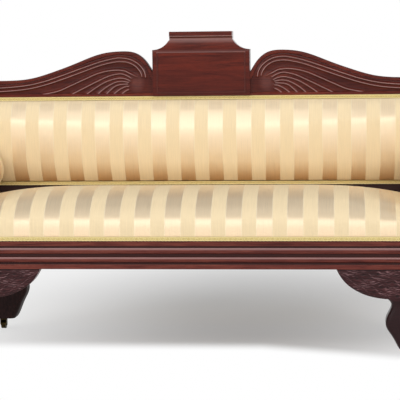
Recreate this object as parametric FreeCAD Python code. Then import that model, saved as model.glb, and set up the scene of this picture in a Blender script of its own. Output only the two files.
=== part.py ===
import FreeCAD, Part
import math
import os

# Settee with a carved crest: every size in millimetres, +Z up, front toward -Y.
os.makedirs("parts", exist_ok=True)
V = FreeCAD.Vector

# Casters
wheel_radius = 14.0
wheel_width = 15.0
crown_gap = 1.6
crown_thick = 4.0
crown_radius = 12.0
swivel_gap = 0.4
socket_plate = 4.0
socket_radius = 17.0
sleeve_radius = 7.0
sleeve_height = 32.0
stem_radius = 4.0
stem_height = 28.0
axle_radius = 2.5
caster_trail = 7.0
cheek_thick = 2.6
cheek_gap = 0.4
eye_radius = 5.0
run_clear = 0.04
foot_bottom = 2 * wheel_radius + crown_gap + crown_thick + swivel_gap + socket_plate

# Heights
shank_height = 145.0
knee_height = 85.0
rail_height = 80.0
knee_bottom = foot_bottom + shank_height
rail_bottom = knee_bottom + knee_height
rail_top = rail_bottom + rail_height

# Depths: the overall box is centred front to rear
rail_thick = 46.0
seat_depth = 449.0
back_thick = 44.0
knee_depth = 83.0
rear_splay = 68.0
rear_foot_share = 0.434
overall_depth = rail_thick + seat_depth + rear_splay + rear_foot_share * knee_depth
front_y = -overall_depth / 2
rail_back = front_y + rail_thick
back_front = rail_back + seat_depth
back_rear = back_front + back_thick
skin_gap = 0.3

# Reeded front rail
rail_half = 761.0
fillet_depth = 6.0
top_fillet = 13.5
bottom_fillet = 13.5
reed_upper = 18.8
reed_lower = 16.4
groove_narrow = 4.5
groove_middle = 8.0

# Legs and brackets
knee_set_in = 51.0
knee_width = 146.0
knee_set_back = 3.0
rear_knee_extra = 27.0
leg_inset = 94.0
front_leg_inset = 37.0
corner_round = 14.0
wing_length = 137.5
wing_thick = 40.0
wing_set_back = 4.0
knee_outer = rail_half - knee_set_in
knee_inner = knee_outer - knee_width
leg_x = knee_inner + leg_inset
front_leg_y = front_y + front_leg_inset
rear_leg_y = back_front + rear_splay

# Arms
arm_turn = 20.0
scroll_shift = 15.0
scroll_rise = 257.0
scroll_radius = 76.0
neck_radius = 60.0
moulding_depth = 6.0
rim_width = 13.0
reed_start = 16.0
reed_end = 31.0
roll_cover = 31.0
roll_recess = 4.0
arm_pad_thick = 36.0
arm_swell = 6.0
arm_rear_thick = 45.0
rosette_radius = 27.0
rosette_base = 2.0
rosette_dome = 13.0
outer_reach = arm_turn + rail_height
scroll_reach = arm_turn + scroll_shift + scroll_radius
neck_reach = outer_reach + neck_radius
arm_inner = rail_half + arm_turn
arm_outer = rail_half + outer_reach
turn_z = rail_top + arm_turn
scroll_x = rail_half + scroll_reach
scroll_z = turn_z + scroll_rise
roll_radius = scroll_radius - roll_cover
arm_face = front_y + moulding_depth
arm_rear_y = back_front - arm_rear_thick
end_rail_lap = 6.0
end_rail_thick = 46.0
end_inner = arm_inner - end_rail_lap
end_outer = end_inner + end_rail_thick

# Seat frame braces
cross_x = 250.0
cross_width = 42.0
cross_drop = 12.0
block_leg = 62.0
block_inset = 8.0

# Back frame
back_gap = 52.0
back_rail_height = 80.0
back_opening = 220.0
top_rail_height = 49.0
stile_lap = 4.0
stile_width = 48.0
muntin_width = 40.0
back_rail_low = rail_top + back_gap
back_rail_high = back_rail_low + back_rail_height
back_top_low = back_rail_high + back_opening
crest_base = back_top_low + top_rail_height
stile_inner = arm_inner + stile_lap
stile_outer = stile_inner + stile_width

# Crest
crest_proud = 2.0
crest_thick = 38.0
crest_peak = 140.0
crest_strip = 50.5
crest_foot_share = 0.246
tablet_half = 152.0
tablet_proud = 8.0
tablet_extra = 4.0
tablet_side = 143.0
shoulder_rise = 29.3
shoulder_run = 52.0
shoulder_hollow = 7.8
shoulder_via_share = 0.426
cap_fillet = 14.3
cap_cove = 12.4
cap_set_in = 2.0
cap_overhang = 8.0
bead_inset = 13.0
bead_width = 4.0
bead_proud = 2.5
bead_top_inset = 6.0
bead_low_inset = 8.0
crest_face = back_front - crest_proud
crest_rear = crest_face + crest_thick
tablet_face = crest_face - tablet_proud
tablet_rear = crest_rear + tablet_extra
tablet_shoulder = crest_base + tablet_side
tablet_neck = tablet_shoulder + shoulder_rise
tablet_neck_half = tablet_half - shoulder_run
cap_top = tablet_neck + cap_cove + cap_fillet

# Upholstery
web_thick = 2.0
hessian_thick = 1.2
strap_width = 58.0
strap_count = 13
strap_margin = 78.0
strap_lap = 30.0
seat_inset = 4.0
seat_set_back = 7.5
seat_rear_gap = 3.0
seat_border = 64.5
seat_bow = 4.0
seat_crown = 136.5
seat_end_drop = 77.0
seat_flat = 310.0
seat_fall_power = 2.6
seat_crest_back = 205.0
seat_shoulder_back = 45.0
seat_shoulder_share = 0.54
seat_rear_share = 0.78
gimp_height = 12.5
gimp_thick = 3.0
gimp_drop = 10.0
gimp_margin = 0.5
seat_gimp_height = 13.0
gimp_set_back = 0.8
back_bulge = 51.0
back_belly_share = 0.70
back_pad_lap = 8.0
cover_thick = 1.6
cover_lift = 2.0
cover_margin = 4.0
cover_inset = 1.0
pad_tuck = 2.0
bolster_radius = 81.0
bolster_side_gap = 1.0
bolster_front_inset = 20.5
bolster_rear_gap = 4.0
bolster_lift = 0.6
bolster_turn = 26.0
bolster_end_share = 0.74
bolster_shoulder_share = 0.965
pad_bottom = rail_top + web_thick + hessian_thick + skin_gap
seat_half = end_inner - seat_inset
seat_front = front_y + seat_set_back
seat_rear = back_front - seat_rear_gap
seat_crest_y = seat_front + seat_crest_back
back_pad_half = arm_inner - back_pad_lap
back_pad_rear = back_front - web_thick - skin_gap
gimp_low = back_rail_high - gimp_drop
gimp_high = crest_base - gimp_height - gimp_margin
back_pad_low = gimp_low + gimp_height + skin_gap
back_pad_high = gimp_high - skin_gap

# Screws
screw_radius = 2.2
screw_head = 4.2
screw_head_height = 3.0
screw_clear = 0.1
crest_screw_length = 70.0
leg_screw_length = 62.0
leg_screw_sink = 45.0
leg_screw_spread = 28.0
leg_screw_shift = 4.0


def box(x0, x1, y0, y1, z0, z1):
    return Part.makeBox(x1 - x0, y1 - y0, z1 - z0, V(x0, y0, z0))


def rod(x, y, z0, z1, r):
    return Part.makeCylinder(r, z1 - z0, V(x, y, z0), V(0, 0, 1))


def rod_x(x0, x1, y, z, r):
    return Part.makeCylinder(r, x1 - x0, V(x0, y, z), V(1, 0, 0))


def rod_y(x, z, y0, y1, r):
    return Part.makeCylinder(r, y1 - y0, V(x, y0, z), V(0, 1, 0))


def line(a, b):
    return Part.makeLine(a, b)


def arc(a, m, b):
    return Part.Arc(a, m, b).toShape()


def on_circle(cx, cz, r, deg, y):
    t = math.radians(deg)
    return V(cx + r * math.cos(t), y, cz + r * math.sin(t))


def face_of(edges):
    return Part.Face(Part.Wire(edges))


def chain(points):
    edges = []
    for a, b in zip(points, points[1:]):
        edges.append(line(a, b))
    return edges


def mirror_x(shape):
    return shape.mirror(V(0, 0, 0), V(1, 0, 0))


def save(name, shape):
    shape.exportStep("parts/%s.step" % name)


def save_pair(stem, right):
    save(stem + "_right", right)
    save(stem + "_left", mirror_x(right))


# Front rail: fillets above and below two half-round reeds, one profile along the length
def rail_profile(x):
    recess = front_y + fillet_depth
    z1 = rail_top - top_fillet
    z2 = z1 - groove_narrow
    z3 = z2 - reed_upper
    z4 = z3 - groove_middle
    z5 = z4 - reed_lower
    z6 = rail_bottom + bottom_fillet
    edges = chain([V(x, rail_back, rail_top), V(x, front_y, rail_top), V(x, front_y, z1),
                   V(x, recess, z1), V(x, recess, z2)])
    edges.append(arc(V(x, recess, z2), V(x, front_y, (z2 + z3) / 2), V(x, recess, z3)))
    edges.append(line(V(x, recess, z3), V(x, recess, z4)))
    edges.append(arc(V(x, recess, z4), V(x, front_y, (z4 + z5) / 2), V(x, recess, z5)))
    edges += chain([V(x, recess, z5), V(x, recess, z6), V(x, front_y, z6), V(x, front_y, rail_bottom),
                    V(x, rail_back, rail_bottom), V(x, rail_back, rail_top)])
    return face_of(edges)


front_rail = rail_profile(-rail_half).extrude(V(2 * rail_half, 0, 0))
rear_rail = box(-end_outer, end_outer, back_front, back_rear, rail_bottom, rail_top)
end_rail = box(end_inner, end_outer, rail_back, back_front, rail_bottom, rail_top)

# Cross rails tie the front and rear rails below the webbing
cross_rails = []
for x in (-cross_x, cross_x):
    cross_rails.append(box(x - cross_width / 2, x + cross_width / 2, rail_back, back_front,
                           rail_bottom + cross_drop, rail_top - cross_drop))


# Triangular blocks brace the four corners of the seat frame
def corner_block(sx, y, sy):
    z = rail_bottom + block_inset
    a = V(sx * end_inner, y, z)
    b = V(sx * (end_inner - block_leg), y, z)
    c = V(sx * end_inner, y + sy * block_leg, z)
    return Part.Face(Part.makePolygon([a, b, c, a])).extrude(V(0, 0, rail_height - 2 * block_inset))


blocks = []
for sx in (-1, 1):
    blocks.append(corner_block(sx, rail_back, 1))
    blocks.append(corner_block(sx, back_front, -1))


# Legs: a square knee under the rail, then an out-swept leg with a swelling above the foot
def round_section(x0, x1, y0, y1, z, r):
    k = r * (1 - math.sqrt(0.5))
    e = [line(V(x0 + r, y0, z), V(x1 - r, y0, z))]
    e.append(arc(V(x1 - r, y0, z), V(x1 - k, y0 + k, z), V(x1, y0 + r, z)))
    e.append(line(V(x1, y0 + r, z), V(x1, y1 - r, z)))
    e.append(arc(V(x1, y1 - r, z), V(x1 - k, y1 - k, z), V(x1 - r, y1, z)))
    e.append(line(V(x1 - r, y1, z), V(x0 + r, y1, z)))
    e.append(arc(V(x0 + r, y1, z), V(x0 + k, y1 - k, z), V(x0, y1 - r, z)))
    e.append(line(V(x0, y1 - r, z), V(x0, y0 + r, z)))
    e.append(arc(V(x0, y0 + r, z), V(x0 + k, y0 + k, z), V(x0 + r, y0, z)))
    return Part.Wire(e)


# Each station: share of the shank's height, then shares of the knee's width from the leg's axis to the
# inner and outer sides, then shares of the knee's depth from the axis to the front and back faces
front_stations = ((1.014, 0.640, 0.247, 0.349, 0.542), (0.76, 0.551, 0.145, 0.325, 0.494),
                  (0.51, 0.636, 0.110, 0.373, 0.542), (0.41, 0.612, 0.143, 0.386, 0.518),
                  (0.27, 0.521, 0.203, 0.410, 0.482), (0.134, 0.442, 0.253, 0.434, 0.446),
                  (0.0, 0.360, 0.301, 0.446, 0.422))
rear_stations = ((1.014, 0.637, 0.247, 0.800, 0.040), (0.83, 0.608, 0.151, 0.770, 0.050),
                 (0.572, 0.586, 0.110, 0.720, 0.120), (0.455, 0.526, 0.137, 0.680, 0.170),
                 (0.283, 0.438, 0.199, 0.600, 0.270), (0.134, 0.372, 0.253, 0.520, 0.350),
                 (0.0, 0.290, 0.301, 0.434, rear_foot_share))


def leg(axis_y, stations, knee_front, depth):
    wires = []
    for share, inner, outer, front, rear in stations:
        wires.append(round_section(leg_x - inner * knee_width, leg_x + outer * knee_width,
                                   axis_y - front * knee_depth, axis_y + rear * knee_depth,
                                   foot_bottom + share * shank_height, corner_round))
    shank = Part.makeLoft(wires, True, False)
    knee = box(knee_inner, knee_outer, knee_front, knee_front + depth, knee_bottom, rail_bottom)
    whole = knee.fuse(shank).removeSplitter()
    return whole.cut(rod(leg_x, axis_y, foot_bottom - 1, foot_bottom + sleeve_height + 0.2, sleeve_radius))


front_leg = leg(front_leg_y, front_stations, front_y + knee_set_back, knee_depth)
rear_leg = leg(rear_leg_y, rear_stations, back_front, back_thick + rear_knee_extra)

# Wing brackets fall from a pointed tip under the rail to the knee in a rising convex curve
wing_front = front_y + wing_set_back
wing_curve = Part.BSplineCurve()
wing_points = []
for along, drop in ((0.0, 0.0), (0.1, 0.29), (0.235, 0.535), (0.42, 0.735),
                    (0.6, 0.868), (0.8, 0.953), (1.0, 1.0)):
    wing_points.append(V(knee_inner - wing_length * (1 - along), wing_front,
                         rail_bottom - drop * knee_height))
wing_curve.interpolate(wing_points)
wing_corner = V(knee_inner, wing_front, rail_bottom)
wing_face = face_of([wing_curve.toShape(), line(wing_points[-1], wing_corner),
                     line(wing_corner, wing_points[0])])
wing = wing_face.extrude(V(0, wing_thick, 0))

# Arm outline: the rail turns up, narrows to a neck and rolls outward into a round scroll
# It is drawn with x measured from the end of the rail, then moved there
neck_z = scroll_z - math.sqrt((neck_radius + scroll_radius) ** 2 - (neck_reach - scroll_reach) ** 2)
throat = math.degrees(math.atan2(neck_z - scroll_z, neck_reach - scroll_reach))
neck_x = rail_half + neck_reach


def s_curve(x0, z0, x1, z1, y):
    dx = x1 - x0
    dz = z1 - z0
    r = (dx * dx + dz * dz) / (4 * dx)
    half = math.asin(dz / 2 / r) / 2
    mid = V(x0 + dx / 2, y, z0 + dz / 2)
    low = V(x0 + r * (1 - math.cos(half)), y, z0 + r * math.sin(half))
    high = V(x1 - r * (1 - math.cos(half)), y, z1 - r * math.sin(half))
    return [arc(V(x0, y, z0), low, mid), arc(mid, high, V(x1, y, z1))]


def arm_outline(y, from_rail):
    left = V(scroll_reach - scroll_radius, y, scroll_z)
    end = on_circle(scroll_reach, scroll_z, scroll_radius, throat, y)
    over = on_circle(scroll_reach, scroll_z, scroll_radius, 45, y)
    upper = on_circle(scroll_reach, scroll_z, scroll_radius, 120, y)
    lower = on_circle(scroll_reach, scroll_z, scroll_radius, (45 + throat) / 2, y)
    edges = s_curve(arm_turn, turn_z, left.x, scroll_z, y)
    edges.append(arc(left, upper, over))
    edges.append(arc(over, lower, end))
    bend = on_circle(neck_reach, neck_z, neck_radius, (360 + throat) / 2, y)
    edges.append(arc(end, bend, V(outer_reach, y, neck_z)))
    edges.append(line(V(outer_reach, y, neck_z), V(outer_reach, y, turn_z)))
    if from_rail:
        corner = V(0, y, rail_bottom)
        big = on_circle(0, turn_z, outer_reach, -45, y)
        edges.append(arc(V(outer_reach, y, turn_z), big, corner))
        edges += chain([corner, V(-rail_height, y, rail_bottom), V(-rail_height, y, rail_top),
                        V(0, y, rail_top)])
        small = on_circle(0, turn_z, arm_turn, -45, y)
        edges.append(arc(V(0, y, rail_top), small, V(arm_turn, y, turn_z)))
    else:
        edges += chain([V(outer_reach, y, turn_z), V(outer_reach, y, rail_top), V(arm_turn, y, rail_top),
                        V(arm_turn, y, turn_z)])
    return face_of(edges)


to_rail_end = V(rail_half, 0, 0)
arm_sheet = arm_outline(arm_face, True)
rim = arm_sheet.cut(arm_sheet.makeOffset2D(-rim_width))
reed = arm_sheet.makeOffset2D(-reed_start).cut(arm_sheet.makeOffset2D(-reed_end))
arm_front = arm_sheet.extrude(V(0, rail_back - arm_face, 0))
arm_front = arm_front.fuse(rim.fuse(reed).extrude(V(0, -moulding_depth, 0)))
trim = box(-2 * rail_height, 0, front_y - 1, rail_back + 1, rail_bottom - 1, rail_top + 1)
arm_front = arm_front.cut(trim).removeSplitter()
arm_front.translate(to_rail_end)
arm_rear = arm_outline(arm_rear_y, False).extrude(V(0, arm_rear_thick, 0))
arm_rear.translate(to_rail_end)
arm_roll = rod_y(scroll_x, scroll_z, rail_back, arm_rear_y, roll_radius)

# Turned rosette in the eye of each scroll: a disc with a raised boss
rosette = rod_y(scroll_x, scroll_z, arm_face - rosette_base, arm_face, rosette_radius)
boss_height = moulding_depth - rosette_base
boss_ball = (rosette_dome ** 2 + boss_height ** 2) / (2 * boss_height)
ball = Part.makeSphere(boss_ball, V(scroll_x, front_y + boss_ball, scroll_z))
boss_core = rod_y(scroll_x, scroll_z, front_y - 1, arm_face - rosette_base / 2, 2 * rosette_radius)
boss = ball.common(boss_core)
rosette = rosette.fuse(boss).removeSplitter()


# Arm stuffing: inside face, over the roll and round to the throat, fullest in the middle
def arm_pad_wire(y, swell):
    x0 = arm_inner - swell
    back_x = arm_inner + arm_pad_thick
    r = scroll_radius - roll_recess + 0.4 * swell
    low = pad_bottom + pad_tuck
    core_r = roll_radius + 0.4
    stop = throat + 4.0
    left = V(scroll_x - r, y, scroll_z)
    top = on_circle(scroll_x, scroll_z, r, 60, y)
    end = on_circle(scroll_x, scroll_z, r, stop, y)
    tuck = on_circle(scroll_x, scroll_z, core_r, stop, y)
    core = on_circle(scroll_x, scroll_z, core_r, 60, y)
    core_left = V(scroll_x - core_r, y, scroll_z)
    edges = chain([V(back_x, y, low), V(x0, y, low), V(x0, y, turn_z)])
    edges += s_curve(x0, turn_z, left.x, scroll_z, y)
    edges.append(arc(left, on_circle(scroll_x, scroll_z, r, 120, y), top))
    edges.append(arc(top, on_circle(scroll_x, scroll_z, r, (60 + stop) / 2, y), end))
    edges.append(line(end, tuck))
    edges.append(arc(tuck, on_circle(scroll_x, scroll_z, core_r, (60 + stop) / 2, y), core))
    edges.append(arc(core, on_circle(scroll_x, scroll_z, core_r, 120, y), core_left))
    edges.append(line(core_left, V(back_x, y, low)))
    return Part.Wire(edges)


pad_y0 = rail_back + skin_gap
pad_y1 = arm_rear_y - skin_gap
pad_run = pad_y1 - pad_y0
pad_wires = []
for share, fill in ((0.0, -0.33), (0.07, 0.5), (0.5, 1.0), (0.93, 0.5), (1.0, -0.33)):
    pad_wires.append(arm_pad_wire(pad_y0 + share * pad_run, fill * arm_swell))
arm_pad = Part.makeLoft(pad_wires, True, False)

# Outside arm cover: a thin skin down the outer side, tucked under the roll
cover_x = arm_outer - 0.4
cover_stop = 180 + throat + 4.0
cover_edges = []
cover_ends = []
for r in (neck_x - cover_x, neck_x - cover_x + cover_thick):
    a = on_circle(neck_x, neck_z, r, 180, pad_y0)
    m = on_circle(neck_x, neck_z, r, (180 + cover_stop) / 2, pad_y0)
    b = on_circle(neck_x, neck_z, r, cover_stop, pad_y0)
    foot = V(neck_x - r, pad_y0, rail_top)
    cover_edges += [line(foot, a), arc(a, m, b)]
    cover_ends.append((foot, b))
cover_edges.append(line(cover_ends[0][0], cover_ends[1][0]))
cover_edges.append(line(cover_ends[0][1], cover_ends[1][1]))
arm_cover = face_of(Part.__sortEdges__(cover_edges)).extrude(V(0, pad_run, 0))

# Back frame
back_stile = box(stile_inner, stile_outer, back_front, back_rear, rail_top, crest_base)
back_bottom = box(-stile_inner, stile_inner, back_front, back_rear, back_rail_low, back_rail_high)
back_top = box(-stile_inner, stile_inner, back_front, back_rear, back_top_low, crest_base)
muntins = []
for x in (-cross_x, cross_x):
    muntins.append(box(x - muntin_width / 2, x + muntin_width / 2, back_front, back_rear,
                       back_rail_high, back_top_low))

# Crest: swan-neck scrolls run from a low strip up to a peak and drop to the tablet
# Each point: share of the neck's run from the tablet's side, share of the rise from strip to peak
neck_run = 490.0
neck_line = ((0.0143, 0.379), (0.0545, 0.694), (0.119, 0.941), (0.209, 1.0), (0.325, 0.929), (0.491, 0.607),
             (0.657, 0.28), (0.782, 0.087), (0.907, 0.012), (1.0, 0.003))
crest_end = stile_outer
strip_top = V(crest_end, crest_face, crest_base + crest_strip)
crest_rise = crest_peak - crest_strip
crest_points = [V(tablet_half, crest_face, strip_top.z + crest_foot_share * crest_rise)]
for run, share in neck_line:
    crest_points.append(V(tablet_half + run * neck_run, crest_face, strip_top.z + share * crest_rise))
crest_points.append(V((tablet_half + neck_run + crest_end) / 2, crest_face, strip_top.z))
crest_points.append(strip_top)
scroll_curve = Part.BSplineCurve()
scroll_curve.interpolate(crest_points)
scroll_edges = [scroll_curve.toShape()]
scroll_edges += chain([strip_top, V(crest_end, crest_face, crest_base),
                       V(tablet_half, crest_face, crest_base), crest_points[0]])
crest_scroll = face_of(scroll_edges).extrude(V(0, crest_thick, 0))

# Tablet: a tall panel whose hollowed shoulders rise to a narrow neck under the cap
sides = []
for sx in (1, -1):
    sides.append((V(sx * tablet_half, tablet_face, tablet_shoulder),
                  V(sx * (tablet_neck_half + shoulder_via_share * shoulder_run), tablet_face,
                    tablet_shoulder + shoulder_hollow),
                  V(sx * tablet_neck_half, tablet_face, tablet_neck)))
low_right = V(tablet_half, tablet_face, crest_base)
low_left = V(-tablet_half, tablet_face, crest_base)
tablet = face_of([line(low_left, low_right), line(low_right, sides[0][0]), arc(*sides[0]),
                  line(sides[0][2], sides[1][2]), arc(sides[1][2], sides[1][1], sides[1][0]),
                  line(sides[1][0], low_left)]).extrude(V(0, tablet_rear - tablet_face, 0))

# Cap: a square fillet over a hollow moulding
cap_half = tablet_neck_half - cap_set_in
cap_face = tablet_face - cap_overhang
cap_wall = tablet_neck + cap_cove
cap_x = -cap_half
cap_edges = chain([V(cap_x, cap_face, cap_wall), V(cap_x, cap_face, cap_top), V(cap_x, tablet_rear, cap_top),
                   V(cap_x, tablet_rear, tablet_neck), V(cap_x, tablet_face, tablet_neck)])
cap_edges.append(arc(V(cap_x, tablet_face, tablet_neck),
                     V(cap_x, tablet_face - 0.3 * cap_overhang, tablet_neck + 0.7 * cap_cove),
                     V(cap_x, cap_face, cap_wall)))
tablet_cap = face_of(cap_edges).extrude(V(2 * cap_half, 0, 0))

# Cock bead bordering the tablet's panel
bead_x = tablet_half - bead_inset
bead_low = crest_base + bead_low_inset
bead_top = tablet_shoulder - bead_top_inset
bead_out = box(-bead_x, bead_x, tablet_face - bead_proud, tablet_face, bead_low, bead_top)
bead_in = box(-bead_x + bead_width, bead_x - bead_width, tablet_face - bead_proud - 1, tablet_face + 1,
              bead_low + bead_width, bead_top - bead_width)
tablet_bead = bead_out.cut(bead_in)


# Stuffed back: drawn in to the gimp all round, rolled under at the foot
def back_pad_wire(x, bulge):
    rise = back_pad_high - back_pad_low
    front = back_pad_rear - bulge
    belly = back_pad_low + back_belly_share * rise
    top = back_pad_low + 0.914 * rise
    set_back = 0.28 * bulge
    a = V(x, back_pad_rear, back_pad_low)
    b = V(x, front, belly)
    c = V(x, front + set_back, top)
    t = V(x, back_pad_rear, back_pad_high)
    r = ((belly - a.z) ** 2 + bulge ** 2) / (2 * bulge)
    half = math.asin((belly - a.z) / r) / 2
    m1 = V(x, front + r * (1 - math.cos(half)), belly - r * math.sin(half))
    r = ((top - belly) ** 2 + set_back ** 2) / (2 * set_back)
    half = math.asin((top - belly) / r) / 2
    m2 = V(x, front + r * (1 - math.cos(half)), belly + r * math.sin(half))
    m3 = V(x, c.y + 0.42 * (t.y - c.y), top + 0.68 * (back_pad_high - top))
    return Part.Wire([arc(a, m1, b), arc(b, m2, c), arc(c, m3, t), line(t, a)])


back_stations = ((1.0, 0.47), (0.968, 0.78), (0.88, 0.98), (0.57, 1.0), (0.27, 1.0))
wires = []
for share, fill in back_stations:
    wires.append(back_pad_wire(-share * back_pad_half, fill * back_bulge))
wires.append(back_pad_wire(0, back_bulge))
for share, fill in reversed(back_stations):
    wires.append(back_pad_wire(share * back_pad_half, fill * back_bulge))
back_pad = Part.makeLoft(wires, True, False)


# Crowned seat: an upright front border, a soft edge and a dome falling toward the arms
def seat_fall(x):
    t = max(0.0, (abs(x) - seat_flat) / (seat_half - seat_flat))
    return t ** seat_fall_power


def seat_top(x):
    return pad_bottom + seat_crown - seat_end_drop * seat_fall(x)


def seat_wire(x):
    fall = seat_fall(x)
    crest = seat_top(x)
    edge = pad_bottom + seat_border * (1 - 0.27 * fall)
    rear = pad_bottom + seat_crown * seat_rear_share - 0.82 * seat_end_drop * fall
    a = V(x, seat_rear, pad_bottom)
    b = V(x, seat_front, pad_bottom)
    c = V(x, seat_front + 0.4 * seat_bow, edge)
    bow = V(x, seat_front - seat_bow, pad_bottom + 0.6 * (edge - pad_bottom))
    d = V(x, seat_crest_y, crest)
    e = V(x, seat_rear, rear)
    shoulder = V(x, seat_front + seat_shoulder_back, edge + seat_shoulder_share * (crest - edge))
    mids = []
    for p in (shoulder, e):
        dy = p.y - d.y
        r = (dy * dy + (d.z - p.z) ** 2) / (2 * (d.z - p.z))
        half = math.asin(dy / r) / 2
        mids.append(V(x, d.y + r * math.sin(half), d.z - r * (1 - math.cos(half))))
    # the front roll leaves the border steeply and runs into the crown without a break
    crown_slope = 2 * math.atan2(d.z - shoulder.z, d.y - shoulder.y)
    chord = shoulder - c
    chord_slope = math.atan2(chord.z, chord.y)
    rise = chord.Length / 2 * math.tan((chord_slope - crown_slope) / 2)
    roll = (c + shoulder) * 0.5 + V(0, -math.sin(chord_slope), math.cos(chord_slope)) * rise
    return Part.Wire([line(a, b), arc(b, bow, c), arc(c, roll, shoulder), arc(shoulder, mids[0], d),
                      arc(d, mids[1], e), line(e, a)])


seat_shares = (1.0, 0.955, 0.9, 0.83, 0.74, 0.62, 0.48, 0.3)
wires = []
for share in seat_shares:
    wires.append(seat_wire(-share * seat_half))
wires.append(seat_wire(0))
for share in reversed(seat_shares):
    wires.append(seat_wire(share * seat_half))
seat_pad = Part.makeLoft(wires, True, False)

# Webbing straps: front-to-rear on the seat frame, upright on the back frame
strap_reach = rail_half - strap_margin / 2
strap_pitch = 2 * (strap_reach - strap_width / 2) / (strap_count - 1)
seat_straps = []
back_straps = []
for i in range(strap_count):
    x = (i - (strap_count - 1) / 2) * strap_pitch
    seat_straps.append(box(x - strap_width / 2, x + strap_width / 2, rail_back - strap_lap, seat_rear,
                           rail_top, rail_top + web_thick))
    back_straps.append(box(x - strap_width / 2, x + strap_width / 2, back_front - web_thick, back_front,
                           back_pad_low + pad_tuck, back_pad_high - pad_tuck))
hessian = box(-rail_half, rail_half, rail_back - strap_lap, seat_rear, rail_top + web_thick,
              rail_top + web_thick + hessian_thick)

# Gimp braid covers the tacked edges of the seat and back
gimp_y = front_y + gimp_set_back
seat_gimp = box(-rail_half + pad_tuck, rail_half - pad_tuck, gimp_y, gimp_y + gimp_thick, rail_top,
                rail_top + seat_gimp_height)
back_gimps = []
for z in (gimp_low, gimp_high):
    back_gimps.append(box(-back_pad_half, back_pad_half, back_front - gimp_thick, back_front, z,
                          z + gimp_height))
back_cover = box(-stile_outer + cover_inset, stile_outer - cover_inset, back_rear, back_rear + cover_thick,
                 rail_top + cover_lift, crest_base - cover_margin)


# Loose bolsters: plump rolls with drawn-in ends, lying on the seat's slope
def rest_height(x):
    best = 0.0
    steps = 60
    for i in range(-steps, steps + 1):
        dx = bolster_radius * i / (steps + 1)
        best = max(best, seat_top(x + dx) + math.sqrt(bolster_radius ** 2 - dx * dx))
    return best + bolster_lift


bolster_y0 = seat_front + bolster_front_inset
bolster_y1 = back_pad_rear - back_bulge - bolster_rear_gap


def bolster(x):
    z = rest_height(x)
    end = bolster_end_share * bolster_radius
    shoulder = bolster_shoulder_share * bolster_radius
    swell = end + 0.72 * (shoulder - end)
    pts = []
    for y, into in ((bolster_y0, bolster_turn), (bolster_y1, -bolster_turn)):
        pts.append([V(x, y, z), V(x, y, z + end), V(x, y + 0.3 * into, z + swell),
                    V(x, y + into, z + shoulder)])
    a, b = pts
    crown = V(x, (bolster_y0 + bolster_y1) / 2, z + bolster_radius)
    outline = Part.Wire([line(a[0], a[1]), arc(a[1], a[2], a[3]), arc(a[3], crown, b[3]),
                         arc(b[3], b[2], b[1]), line(b[1], b[0]), line(b[0], a[0])])
    return Part.Face(outline).revolve(V(x, 0, z), V(0, 1, 0), 360)


bolster_x = arm_inner - arm_swell - bolster_side_gap - bolster_radius


# Casters: a brass socket in each foot, a swivelling horn with a pinned wheel
def caster(x, y):
    axle_y = y + caster_trail
    socket_low = foot_bottom - socket_plate
    sleeve_top = foot_bottom + sleeve_height
    stem_top = foot_bottom + stem_height
    crown_high = socket_low - swivel_gap
    crown_low = crown_high - crown_thick
    socket = rod(x, y, socket_low, foot_bottom, socket_radius)
    socket = socket.fuse(rod(x, y, socket_low, sleeve_top, sleeve_radius))
    socket = socket.cut(rod(x, y, socket_low - 1, stem_top + 0.5, stem_radius + run_clear))
    horn = rod(x, y, crown_low, crown_high, crown_radius).fuse(rod(x, y, crown_low, stem_top, stem_radius))
    half = wheel_width / 2 + cheek_gap
    reach = half + cheek_thick
    for x0 in (x + half, x - reach):
        cheek = box(x0, x0 + cheek_thick, y - crown_radius / 3, axle_y + eye_radius, wheel_radius,
                    crown_low + crown_thick / 2)
        horn = horn.fuse(cheek).fuse(rod_x(x0, x0 + cheek_thick, axle_y, wheel_radius, eye_radius))
    horn = horn.cut(rod_x(x - 2 * reach, x + 2 * reach, axle_y, wheel_radius, axle_radius)).removeSplitter()
    axle = rod_x(x - reach, x + reach, axle_y, wheel_radius, axle_radius)
    wheel = rod_x(x - wheel_width / 2, x + wheel_width / 2, axle_y, wheel_radius, wheel_radius)
    wheel = wheel.cut(rod_x(x - reach, x + reach, axle_y, wheel_radius, axle_radius + run_clear))
    return socket.removeSplitter(), horn, axle, wheel


sockets = []
for name, sx, y in (("front_left", -1, front_leg_y), ("front_right", 1, front_leg_y),
                    ("rear_left", -1, rear_leg_y), ("rear_right", 1, rear_leg_y)):
    socket, horn, axle, wheel = caster(sx * leg_x, y)
    sockets.append(socket)
    save("caster_horn_" + name, horn)
    save("caster_axle_" + name, axle)
    save("caster_wheel_" + name, wheel)


# Screws: up through the back's top rail into the crest, down through the seat rails into the legs
def screw(length, clear):
    head = Part.makeCone(screw_head + clear, screw_radius + clear, screw_head_height)
    return head.fuse(rod(0, 0, 0, length + clear, screw_radius + clear)).removeSplitter()


crest_screws = []
crest_screw_y = (back_front + crest_rear) / 2
neck_width = crest_end - tablet_half
for x in (0.65 * tablet_half, tablet_half + 0.27 * neck_width, crest_end - 0.28 * neck_width):
    for sx in (-1, 1):
        one = screw(crest_screw_length, 0.0)
        one.translate(V(sx * x, crest_screw_y, back_top_low))
        crest_screws.append(one)
        hole = screw(crest_screw_length, screw_clear)
        hole.translate(V(sx * x, crest_screw_y, back_top_low))
        back_top = back_top.cut(hole)
        tablet = tablet.cut(hole)
        crest_scroll = crest_scroll.cut(hole)

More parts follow.
